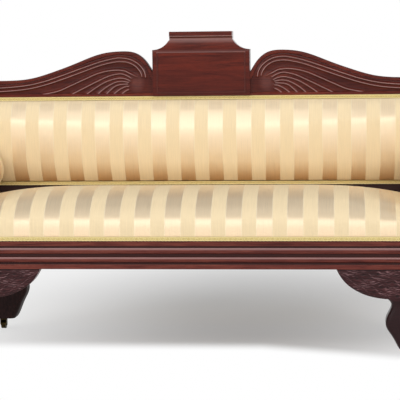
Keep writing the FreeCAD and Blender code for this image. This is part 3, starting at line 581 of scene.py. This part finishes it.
def featheredLeg(side):
    wing, leg = "wing_bracket_" + side, "front_leg_" + side
    wingLo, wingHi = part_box(wing)
    tip, knee = sorted((abs(wingLo.x) / mm, abs(wingHi.x) / mm))
    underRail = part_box("front_seat_rail")[0].z / mm
    drop = underRail - wingLo.z / mm
    mesh = voxelSkin([wing, leg], feather["skin"])
    place, facing = meshPoints(mesh)
    across = np.abs(place[:, 0]) / mm
    below = underRail - place[:, 2] / mm
    run = (across - tip) / (knee - tip)
    curve = np.interp(run, *feather["sweep"])
    share = below / (drop * curve)
    # lines lie level under the rail and turn with the lower edge further down
    flow = 0.55 * below / drop + 0.45 * share
    turns = feather["rows"] * flow
    for long, swing, drift in feather["waves"]:
        turns = turns + swing * np.sin(2 * math.pi * (across / long + drift * flow * feather["rows"] / 3))
    row = np.floor(turns)
    lock = 1 - np.abs(2 * np.mod(turns, 1) - 1) ** 1.5
    hair = np.abs(np.sin(1.5 * math.pi * turns + 1.2 * np.sin(across / 11 + row)))
    swell = 0.76 + 0.24 * np.sin(across / 8.5 + 2.4 * row) * np.sin(across / 19 + 1.7 * row)
    height = (0.55 * lock + 0.45 * hair * (0.35 + 0.65 * lock)) * swell
    edge = np.clip((share - 1 + feather["rim"] / (drop * curve)) / 0.02, 0, 1) * (run < 1.0)
    height = height * (1 - edge) + 0.45 * edge
    front = np.clip((-facing[:, 1] - 0.2) / 0.4, 0, 1)
    outer = np.clip((np.abs(facing[:, 0]) - 0.5) / 0.4, 0, 1) * (run > 1.2)
    onKnee = np.clip((drop + 6 - below) / 7, 0, 1) * np.clip((below + 0.5) / 2, 0, 1)
    weight = np.maximum(front, 0.8 * outer) * onKnee
    place = place - facing * (weight * (1 - height) * feather["depth"] * mm)[:, None]
    # the shank under the knee is painted darker
    dark = 0.85 * (1 - np.clip((drop + 8 - below) / 14, 0, 1))
    # painted shade in the seam under the rail
    seam = np.clip(1.6 - below / 3, 0, 1)
    bm = bmesh.new()
    bm.from_mesh(mesh)
    bpy.data.meshes.remove(mesh)
    shadeAndDarkLayer, highlightLayer = newLayers(bm, "hollow", "arris")
    # painted shade between the locks and a darker rim; painted highlight on the locks' crests
    for i, vert in enumerate(bm.verts):
        vert.co = place[i]
        vert[shadeAndDarkLayer] = max(dark[i], weight[i] * (1 - height[i]) ** 1.3, 0.75 * edge[i] * weight[i],
                                seam[i])
        vert[highlightLayer] = weight[i] * min(0.7, max(0.0,
                                                    height[i] - 0.58) * 2.0) * (1 - edge[i]) * (1 - seam[i])
    finishPiece(bm, "carved_leg_" + side, carvedMahogany, [wing, leg])


for side in sides:
    featheredLeg(side)
print("brackets and knees carved")

# Rosette in each arm scroll: eight petals round a button
rosette = {"petals": 8, "spokes": 96, "rings": 22}


def armRosette(side):
    node = "arm_rosette_" + side
    lo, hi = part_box(node)
    centre = (lo + hi) / 2
    radius = (hi.z - lo.z) / 2
    rings = rosette["rings"]
    bm = bmesh.new()
    first = [bm.verts.new((centre.x + radius * i / rings, hi.y, centre.z)) for i in range(rings + 1)]
    spokes = [bm.edges.new((first[i], first[i + 1])) for i in range(rings)]
    bmesh.ops.spin(bm, geom=first + spokes, cent=(centre.x, hi.y, centre.z), axis=(0, 1, 0),
                   angle=2 * math.pi, steps=rosette["spokes"], use_merge=True)
    bmesh.ops.remove_doubles(bm, verts=bm.verts[:], dist=1e-6)
    shadeAndDarkLayer, = newLayers(bm, "hollow")
    full = hi.y - lo.y
    for vert in bm.verts:
        dx, dz = vert.co.x - centre.x, vert.co.z - centre.z
        r = min(1.0, math.hypot(dx, dz) / radius)
        turn = math.atan2(dz, dx)
        petal = abs(math.cos(turn * rosette["petals"] / 2)) ** 0.6
        leaf = math.sin(math.pi * min(1, max(0, (r - 0.28) / 0.72)) ** 0.8) ** 0.6 if r > 0.28 else 0
        button = math.sqrt(max(0, 1 - (r / 0.34) ** 2))
        height = max(0.3 + 0.42 * leaf * (0.35 + 0.65 * petal), button) * full if r < 0.985 else 0.0
        vert.co.y = hi.y - height
        # painted shade between the petals
        vert[shadeAndDarkLayer] = 0.8 * (1 - petal) * (1 if 0.3 < r < 0.97 else 0)
    closeBack(bm, hi.y + 0.0002)
    finishPiece(bm, "carved_" + node, carvedMahogany, [node])


for side in sides:
    armRosette(side)

# Joinery that keeps its CAD shape, with eased edges
# painted shade in the rail's grooves and painted highlight on its reeds
eased("front_seat_rail", railMahogany, width=1.0, angle=50, groove=6.0)
# painted light on the tablet: a pale painted sheen under its cap and a painted dark line lower down; it also
# darkens toward its foot and at its ends
eased("crest_tablet", flameMahogany, width=1.6, margin=13,
      tone=[(0, 0, 0.4), (3, 0, 0.3), (10, 0, 0.04), (22, 0, 0), (29, 0.3, 0), (34, 0.5, 0.12),
            (38, 0.05, 0), (75, 0.15, 0), (170, 0.5, 0)])
# on the cap, a painted highlight along the fascia's lower edge, painted shade under it and a painted sheen on
# the hollow below
eased("tablet_cap", polishedMahogany, width=1.0,
      tone=[(0, 0.2, 0), (2, 0, 0), (12.6, 0, 0), (14.0, 0, 0.85), (15.2, 0, 0.5), (17, 0.8, 0),
            (19, 0.7, 0), (21.5, 0, 0.4), (26, 0, 0.5)])
# painted highlight along the bead's top edge and painted shade below it
eased("tablet_bead", polishedMahogany, width=0.9,
      tone=[(0, 0, 0.3), (4, 0, 0.2), (5, 0.5, 0), (200, 0.6, 0)])
# painted shade: the whole rail takes the dark colour
eased("back_bottom_rail", shadowedMahogany, dark=1.0)
eased("back_top_rail", tulipPoplar)
eased("rear_seat_rail", polishedMahogany)
for side in sides:
    eased("arm_front_" + side, armMahogany, width=1.0)
    eased("arm_rear_" + side, armMahogany, width=1.2)
    eased("back_stile_" + side, uprightMahogany)
    eased("end_rail_" + side, sideMahogany)
    eased("rear_leg_" + side, legMahogany, width=2.0)
    for end in ("front", "rear"):
        corner = end + "_" + side
        eased("caster_horn_" + corner, agedBrass, "caster_" + corner, 0.6, 30)
        eased("caster_wheel_" + corner, agedBrass, "wheel_" + corner, 0.8, 30)
print("joinery eased")

plainNodes = {
    tulipPoplar: ["back_muntins", "corner_blocks"],
    sidePoplar: ["seat_cross_rails", "arm_roll_left", "arm_roll_right"],
    agedBrass: ["caster_sockets"],
    plainSteel: ["crest_screws", "leg_screws"] + ["caster_axle_" + e + "_" + s for e in ("front", "rear")
                                                  for s in sides]}
for material, names in plainNodes.items():
    for name in names:
        slots = nodes[name].data.materials
        slots.clear()
        slots.append(material)


# Stuffed pieces: the cover starts a little slack and is blown tight over its filling by a cloth simulation
coverCloth = {"quality": 3, "mass": 0.3, "tension_stiffness": 20, "compression_stiffness": 20,
              "shear_stiffness": 8, "bending_stiffness": 1.5, "use_pressure": True,
              "uniform_pressure_force": 4.0, "vertex_group_mass": "tacks"}
coverFrames = 16


def stuffed(node, material, spec, body="settee_frame"):
    mesh = voxelSkin([node], spec["voxel"])
    start, facing = meshPoints(mesh)
    held = facing @ np.array(spec.get("tacked", (0, 0, 0))) > 0.6
    slack = np.where(held, 0.0, spec["slack"])
    if spec.get("crown"):
        slack = slack * np.clip(facing @ np.array(spec["crown"]), 0, 1)
    start = start - facing * (slack * mm)[:, None]
    mesh.vertices.foreach_set("co", start.ravel())
    mesh.update()
    cover = bpy.data.objects.new("cover", mesh)
    scene.collection.objects.link(cover)
    tacks = cover.vertex_groups.new(name="tacks")
    tacks.add([int(i) for i in np.nonzero(held)[0]], 1.0, "REPLACE")
    cloth = cover.modifiers.new("cover", "CLOTH")
    for key, value in coverCloth.items():
        setattr(cloth.settings, key, value)
    cloth.settings.effector_weights.gravity = 0
    cloth.collision_settings.use_self_collision = False
    cloth.point_cache.frame_end = coverFrames
    for number in range(1, coverFrames + 1):
        scene.frame_set(number)
    blown = bpy.data.meshes.new_from_object(cover.evaluated_get(bpy.context.evaluated_depsgraph_get()))
    move = meshPoints(blown)[0] - start
    far = np.linalg.norm(move, axis=1)
    keep = np.minimum(1, spec["cap"] * mm / np.maximum(far, 1e-9))
    start = start + move * keep[:, None]
    bpy.data.objects.remove(cover)
    bpy.data.meshes.remove(blown)
    scene.frame_set(1)
    mesh = voxelSkin([node], spec["voxel"])
    print(node, "blown:", round(float(far.mean() / mm), 1), "mm mean")
    bm = bmesh.new()
    bm.from_mesh(mesh)
    for i, vert in enumerate(bm.verts):
        vert.co = start[i]
    for _ in range(2):
        bmesh.ops.smooth_vert(bm, verts=bm.verts[:], factor=0.5, use_axis_x=True, use_axis_y=True,
                              use_axis_z=True)
    # drawn out to fill its space again, and pushed under the braid along its tacked rim
    lo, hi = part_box(node)
    spots = np.array([v.co for v in bm.verts])
    small, large = spots.min(0), spots.max(0)
    spots = np.array(lo) + (spots - small) / (large - small) * (np.array(hi) - np.array(lo))
    if spec.get("rim"):
        near = np.clip(1 - (hi.y - spots[:, 1]) / (spec["rim"][0] * mm), 0, 1)
        spots[:, 2] += np.sign(spots[:, 2] - (lo.z + hi.z) / 2) * near * spec["rim"][1] * mm
    if spec.get("pleats"):
        middle = (lo + hi) / 2
        reach = np.hypot(spots[:, 0] - middle.x, spots[:, 2] - middle.z) / ((hi.z - lo.z) / 2)
        angle = np.arctan2(spots[:, 2] - middle.z, spots[:, 0] - middle.x)
        ends = np.clip((np.abs(spots[:, 1] - middle.y) / ((hi.y - lo.y) / 2) - 0.93) / 0.05, 0, 1)
        fold = 0.5 + 0.5 * np.cos(spec["pleats"] * angle)
        fold *= np.clip(reach / 0.25, 0, 1) * (1 - reach ** 6).clip(0, 1)
        sunk = (fold * 3.0 + 9.0 * (1 - np.clip(reach / 0.75, 0, 1)) ** 1.5) * ends * mm
        spots[:, 1] -= np.sign(spots[:, 1] - middle.y) * sunk
    for i, vert in enumerate(bm.verts):
        vert.co = spots[i]
    layStripes(bm, spec["lay"])
    piece = finishPiece(bm, "stuffed_" + node, material, [node], body)
    finer = piece.modifiers.new("finer", "SUBSURF")
    finer.levels = 1
    finer.render_levels = 1


# both pads take painted shade below a height: the seat on its lower border, the back at its foot
seatPad = {"voxel": 10.0, "slack": 3.5, "cap": 4.5, "tacked": (0, 0, -1), "fill": 0.95,
           "lay": {"axis": 0, "shift": -2.2, "stretch": 1.009, "skew": 0.02, "soil": (0.418, 0.27)}}
backPad = {"voxel": 9.0, "slack": 3.0, "cap": 4.0, "tacked": (0, 1, 0), "crown": (0, -1, 0),
           "rim": (16.0, 2.0), "lay": {"axis": 0, "shift": 2.3, "foot": (0.56, 0.487, 0.006),
                                       "soil": (0.545, 0.488), "worn": (0.708, 0.732)}, "fill": 0.95}
armPad = {"voxel": 7.5, "slack": 2.5, "cap": 3.0, "lay": {"axis": 1}, "fill": 0.9}
bolster = {"voxel": 7.0, "slack": 3.0, "cap": 3.5, "pleats": 26, "lay": {"axis": 1, "shift": 28.0},
           "fill": 0.9}
stuffed("seat_pad", longStripe, seatPad)
stuffed("back_pad", longStripe, backPad)
for side, outward in sides.items():
    stuffed("arm_pad_" + side, crossStripe, {**armPad, "tacked": (outward, 0, 0)})
    stuffed("bolster_" + side, crossStripe, bolster, "bolster_" + side)
print("stuffed pieces blown up")

# Bolster ends: a twisted cord round each rim and a covered button where the pleats meet; lengths in mm
bolsterEnd = {"ring": 66.0, "cord": 3.2, "twists": 46, "inset": 7.5, "button": 15.0, "dome": 7.0, "sunk": 9.5}


def bolsterTrim(side):
    lo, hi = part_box("bolster_" + side)
    middle = (lo + hi) / 2
    cords = bmesh.new()
    buttons = bmesh.new()
    cordLayer, = newLayers(cords, "cord")
    for y, outward in ((lo.y, -1), (hi.y, 1)):
        at = Vector((middle.x, y - outward * bolsterEnd["inset"] * mm, middle.z))
        loop = bmesh.ops.create_circle(cords, segments=10, radius=bolsterEnd["cord"] * mm)["verts"]
        turn = Matrix.Translation(at + Vector((bolsterEnd["ring"] * mm, 0, 0)))
        bmesh.ops.transform(cords, matrix=turn, verts=loop)
        edges = list({e for v in loop for e in v.link_edges})
        bmesh.ops.spin(cords, geom=loop + edges, cent=at, axis=(0, 1, 0), angle=2 * math.pi, steps=120,
                       use_merge=True)
        cap = Vector((middle.x, y - outward * bolsterEnd["sunk"] * mm, middle.z))
        arc = []
        for i in range(7):
            t = i / 6 * math.pi / 2
            wide, deep = bolsterEnd["button"] * mm * math.sin(t), bolsterEnd["dome"] * mm * math.cos(t)
            arc.append(buttons.verts.new(cap + Vector((wide, outward * deep, 0))))
        spans = [buttons.edges.new((arc[i], arc[i + 1])) for i in range(6)]
        bmesh.ops.spin(buttons, geom=arc + spans, cent=cap, axis=(0, 1, 0), angle=2 * math.pi, steps=36,
                       use_merge=True)
    for bm in (cords, buttons):
        bmesh.ops.remove_doubles(bm, verts=bm.verts[:], dist=1e-6)
        bmesh.ops.holes_fill(bm, edges=[e for e in bm.edges if e.is_boundary])
        faceOut(bm)
    for vert in cords.verts:
        out = vert.co - Vector((middle.x, vert.co.y, middle.z))
        spin = math.atan2(out.z, out.x)
        lift = (out.length - bolsterEnd["ring"] * mm) / (bolsterEnd["cord"] * mm)
        strand = math.sin(bolsterEnd["twists"] * spin + 2.5 * lift)
        # the strands' crowns take the pale colour and the grooves the olive, partly painted highlight and
        # shade
        vert[cordLayer] = 0.5 + 0.45 * strand
        vert.co += out.normalized() * (0.5 * mm * strand)
    layStripes(buttons, {"axis": 0, "shift": middle.x / mm})
    finishPiece(cords, "bolster_cord_" + side, goldGimp, [], "bolster_" + side)
    finishPiece(buttons, "bolster_buttons_" + side, longStripe, [], "bolster_" + side)


for side in sides:
    bolsterTrim(side)

# Gimp braid: an upper and a lower cord with a scrolling pair between them
gimp = {"cell": 1.5, "rows": 12, "pitch": 10.0}


def gimpStrip(node, scallop):
    lo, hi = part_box(node)
    long, tall, thick = (hi.x - lo.x) / mm, (hi.z - lo.z) / mm, (hi.y - lo.y) / mm
    bm = bmesh.new()
    bmesh.ops.create_grid(bm, x_segments=int(long / gimp["cell"]), y_segments=gimp["rows"], size=0.5)
    cordLayer, = newLayers(bm, "cord")
    middle, swing = 0.5 * tall, 0.24 * tall
    for vert in bm.verts:
        along, up = (vert.co.x + 0.5) * long, (vert.co.y + 0.5) * tall
        turn = 2 * math.pi * along / gimp["pitch"]
        bulge = 0.0
        for line, r in ((0.12 * tall, 0.12 * tall), (0.88 * tall, 0.12 * tall),
                        (middle + swing * math.sin(turn), 0.15 * tall),
                        (middle - swing * math.sin(turn), 0.15 * tall)):
            gap = abs(up - line) / r
            if gap < 1:
                bulge = max(bulge, math.sqrt(1 - gap * gap))
        dip = scallop * (1 - up / tall) ** 2 * (0.5 - 0.5 * math.cos(turn))
        vert.co = (lo.x + along * mm, hi.y - (0.35 + 0.65 * bulge) * thick * mm, lo.z + (up + dip) * mm)
        # cord height drives the colour: pale tops and olive hollows, partly painted highlight and shade
        vert[cordLayer] = bulge
    closeBack(bm, hi.y)
    finishPiece(bm, "braided_" + node, goldGimp, [node], sharpAngle=60)


gimpStrip("seat_gimp", 1.2)
gimpStrip("back_gimp_bottom", 0.6)
gimpStrip("back_gimp_top", 0.0)
print("gimp braided")


# Cloths stretched on the frame: a grid with a little give between its tacks. With "outward" set, the cloth
# follows the curved skin of its solid, and its foot turns in to the rail; lengths in mm
coverSheet = {"thick": 0.8, "lift": 0.4}


def stretched(name, node, material, slotName, facing, give, outward=0, cell=20.0, turnIn=0.0):
    lo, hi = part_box(node)
    size = hi - lo
    lift = coverSheet["lift"] * mm
    wide, long = (i for i in range(3) if i != facing)
    tree = skinTree(node)
    bm = bmesh.new()
    bmesh.ops.create_grid(bm, x_segments=max(8, int(size[wide] / (cell * mm))),
                          y_segments=max(8, int(size[long] / (cell * mm))), size=0.5)
    for vert in bm.verts:
        s, t = vert.co.x + 0.5, vert.co.y + 0.5
        slack = math.sin(math.pi * s) * math.sin(math.pi * t) * (1 + 0.25 * math.sin(9 * s + 4 * t))
        spot = [0.0, 0.0, 0.0]
        spot[wide] = lo[wide] + s * size[wide]
        spot[long] = lo[long] + t * size[long]
        spot[facing] = (lo[facing] + hi[facing]) / 2 + give * mm * slack
        if outward:
            sight = Vector(max(lo[i] + lift, min(hi[i] - lift, spot[i])) for i in range(3))
            sight[facing] += outward
            hit = tree.ray_cast(sight, Vector(-outward if i == facing else 0 for i in range(3)))[0]
            spot[facing] = hit[facing] - outward * coverSheet["thick"] * mm + give * mm * slack
        vert.co = spot
    if turnIn:
        foot = [e for e in bm.edges if e.is_boundary and all(v.co.z < lo.z + 0.1 * mm for v in e.verts)]
        made = bmesh.ops.extrude_edge_only(bm, edges=foot)["geom"]
        bmesh.ops.translate(bm, verts=[v for v in made if isinstance(v, bmesh.types.BMVert)],
                            vec=(-outward * turnIn * mm, 0, 0))
        bmesh.ops.translate(bm, verts=[v for v in bm.verts if v.co.z < lo.z + 0.1 * mm], vec=(0, 0, lift))
    faceOut(bm)
    area = sum(f.calc_area() for f in bm.faces)
    if slotName == "striped_satin":
        layStripes(bm, {"axis": wide})
    piece = finishPiece(bm, name, material, [node])
    thick = piece.modifiers.new("cloth", "SOLIDIFY")
    thick.thickness = coverSheet["thick"] * mm
    thick.offset = 0


stretched("outside_back", "back_cover", longStripe, "striped_satin", 1, -0.5)
for side, outward in sides.items():
    stretched("outside_arm_" + side, "arm_cover_" + side, crossStripe, "striped_satin", 0, -0.3 * outward,
              outward, 6.0, 38.0)
stretched("seat_base_cloth", "seat_hessian", hessianCloth, "hessian", 2, 0.0)


# Webbing: jute straps tacked at both ends, with a slight wave along each strap
def webbing(name, node, facing, long):
    bm = solidCopy(node)
    lo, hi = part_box(node)
    runs = [e for e in bm.edges if abs((e.verts[0].co - e.verts[1].co).normalized()[long]) > 0.9]
    bmesh.ops.subdivide_edges(bm, edges=runs, cuts=16, use_grid_fill=True)
    for vert in bm.verts:
        t = (vert.co[long] - lo[long]) / (hi[long] - lo[long])
        vert.co[facing] += 0.15 * mm * math.sin(3 * math.pi * t)
    faceOut(bm)
    area = sum(f.calc_area() for f in bm.faces if f.normal[facing] > 0.9)
    piece = finishPiece(bm, name, juteWebbing, [node], sharpAngle=40)


webbing("seat_straps", "seat_webbing", 2, 1)
webbing("back_straps", "back_webbing", 1, 2)
print("covers and webbing stretched")

smooth = {"interpolation_type": "SMOOTHSTEP"}

# Floor: matt white paper that fades to plain white away from the settee and keeps its shadow
bpy.ops.mesh.primitive_plane_add(size=60)
floor = bpy.context.object
floor.name = "floor"
paperLook = {"lift": 0.75}       # how far the shadow is lifted toward white at its ends
paper = bpy.data.materials.new("white_paper")
add = bareNodes(paper)
matt = add("BsdfDiffuse", {"Color": "#f4f4f4"})
glow = add("Emission", {"Color": (1, 1, 1, 1), "Strength": 1.0})
where = add("TexCoord").outputs["Object"]
spot = add("SeparateXYZ", links={0: where})
core = add("Mapping", {"Location": (-0.12, -0.48, 0), "Scale": (1.0, 0.6, 0.0)}, {"Vector": where})
out = add("VectorMath LENGTH", links={0: core})
near = add("MapRange", {**smooth, "From Min": 0.1, "From Max": 1.1, "To Max": paperLook["lift"]},
           {"Value": out.outputs["Value"]})
# the shadow's front edge runs forward at the right
bend = add("Math MAXIMUM", {1: 0.2}, {0: spot.outputs["X"]})
edge = add("Math MULTIPLY_ADD", {1: 0.4}, {0: bend, 2: spot.outputs["Y"]})
ahead = add("MapRange", {**smooth, "From Min": 0.13, "From Max": -0.05}, {"Value": edge, "To Min": near})
flat = add("Mapping", {"Location": (0, -0.3, 0), "Scale": (0.6, 0.6, 0.0)}, {"Vector": where})
far = add("VectorMath LENGTH", links={0: flat})
wide = add("MapRange", {**smooth, "From Min": 0.6, "From Max": 1.15}, {"Value": far.outputs["Value"]})
fade = add("Math MAXIMUM", links={0: ahead, 1: wide})
rays = add("LightPath")
seen = add("Math MAXIMUM", links={0: rays.outputs["Is Camera Ray"], 1: rays.outputs["Is Glossy Ray"]})
seen = add("Math MAXIMUM", links={0: seen, 1: rays.outputs["Is Transmission Ray"]})
clear = add("Math MULTIPLY", links={0: fade, 1: seen})
blend = add("MixShader", links={0: clear, 1: matt, 2: glow})
add("OutputMaterial", links={"Surface": blend})
floor.data.materials.append(paper)

# The room's light in front, low and higher up, overhead and behind
room = {"low": 1.0, "high": 1.15, "zenith": 0.4, "back": 0.44}
world = bpy.data.worlds.new("white_room")
scene.world = world
add = bareNodes(world)
rays = add("LightPath")
seen = add("Math MAXIMUM", links={0: rays.outputs["Is Camera Ray"], 1: rays.outputs["Is Transmission Ray"]})
toward = add("SeparateXYZ", links={0: add("TexCoord").outputs["Generated"]})
over = add("MapRange", {**smooth, "From Min": 0.26, "From Max": 0.56, "To Min": room["high"],
                        "To Max": room["zenith"]}, {"Value": toward.outputs["Z"]})
front = add("MapRange", {**smooth, "From Min": 0.01, "From Max": 0.09, "To Min": room["low"]},
            {"Value": toward.outputs["Z"], "To Max": over})
wall = add("MapRange", {"From Min": -0.5, "From Max": 0.5, "To Max": room["back"]},
           {"Value": toward.outputs["Y"], "To Min": front})
# glossy rays meet the white backdrop up to its top edge
behind = add("MapRange", {"From Min": 0.1, "From Max": 0.5}, {"Value": toward.outputs["Y"]})
lowPart = add("MapRange", {"From Min": 0.15, "From Max": 0.35, "To Min": 1.0, "To Max": 0.0},
              {"Value": toward.outputs["Z"]})
paperWall = add("Math MULTIPLY", links={0: behind, 1: lowPart})
mirrored = add("Math MULTIPLY", links={0: paperWall, 1: rays.outputs["Is Glossy Ray"]})
white = add("Math MAXIMUM", links={0: seen, 1: mirrored})
level = add("Math MAXIMUM", links={0: white, 1: wall})
sky = add("Background", {"Color": (1, 1, 1, 1)}, {"Strength": level})
add("OutputWorld", links={"Surface": sky})

# Soft boxes: one high in front for the back's sheen, one overhead for the seat's front edge, one at each side
lamps = {"front": ((-0.5, -4.6, 2.5), (0, 0.1, 0.6), 3.4, 2.6, 46),
         "top": ((0.1, -0.3, 3.3), (0, -0.1, 0.4), 2.6, 0.9, 4),
         "left": ((-3.4, -2.6, 3.0), (0, 0.1, 0.6), 1.6, 1.6, 33),
         "right": ((3.4, -2.6, 3.0), (0, 0.1, 0.6), 1.6, 1.6, 33)}
for name, (place, aim, wide, tall, watts) in lamps.items():
    light = bpy.data.lights.new(name + "_softbox", "AREA")
    light.shape = "RECTANGLE"
    light.size = wide
    light.size_y = tall
    light.energy = watts
    lamp = bpy.data.objects.new(name + "_softbox", light)
    lamp.location = place
    lamp.rotation_euler = (Vector(aim) - Vector(place)).to_track_quat("-Z", "Y").to_euler()
    scene.collection.objects.link(lamp)

# Camera, at the photograph's standing point: a little right of the middle, turned left and tipped down
shot = {"place": (0.5181, -5.1286, 0.9075), "yaw": 5.649, "pitch": 5.188, "roll": -0.649, "lens": 154.116}
yaw, pitch, roll = (math.radians(shot[k]) for k in ("yaw", "pitch", "roll"))
up = Vector((0, 0, 1))
ahead = Vector((-math.sin(yaw), math.cos(yaw), 0))
right = Vector((math.cos(yaw), math.sin(yaw), 0))
look = ahead * math.cos(pitch) - up * math.sin(pitch)
top = up * math.cos(pitch) + ahead * math.sin(pitch)
turned = right * math.cos(roll) + top * math.sin(roll)
raised = top * math.cos(roll) - right * math.sin(roll)
camera = bpy.data.objects.new("camera", bpy.data.cameras.new("camera"))
camera.data.lens = shot["lens"]
camera.data.sensor_width = 36
facing = Matrix((turned, raised, -look)).transposed().to_4x4()
camera.matrix_world = Matrix.Translation(shot["place"]) @ facing
scene.collection.objects.link(camera)
scene.camera = camera
scene.view_settings.view_transform = "Standard"
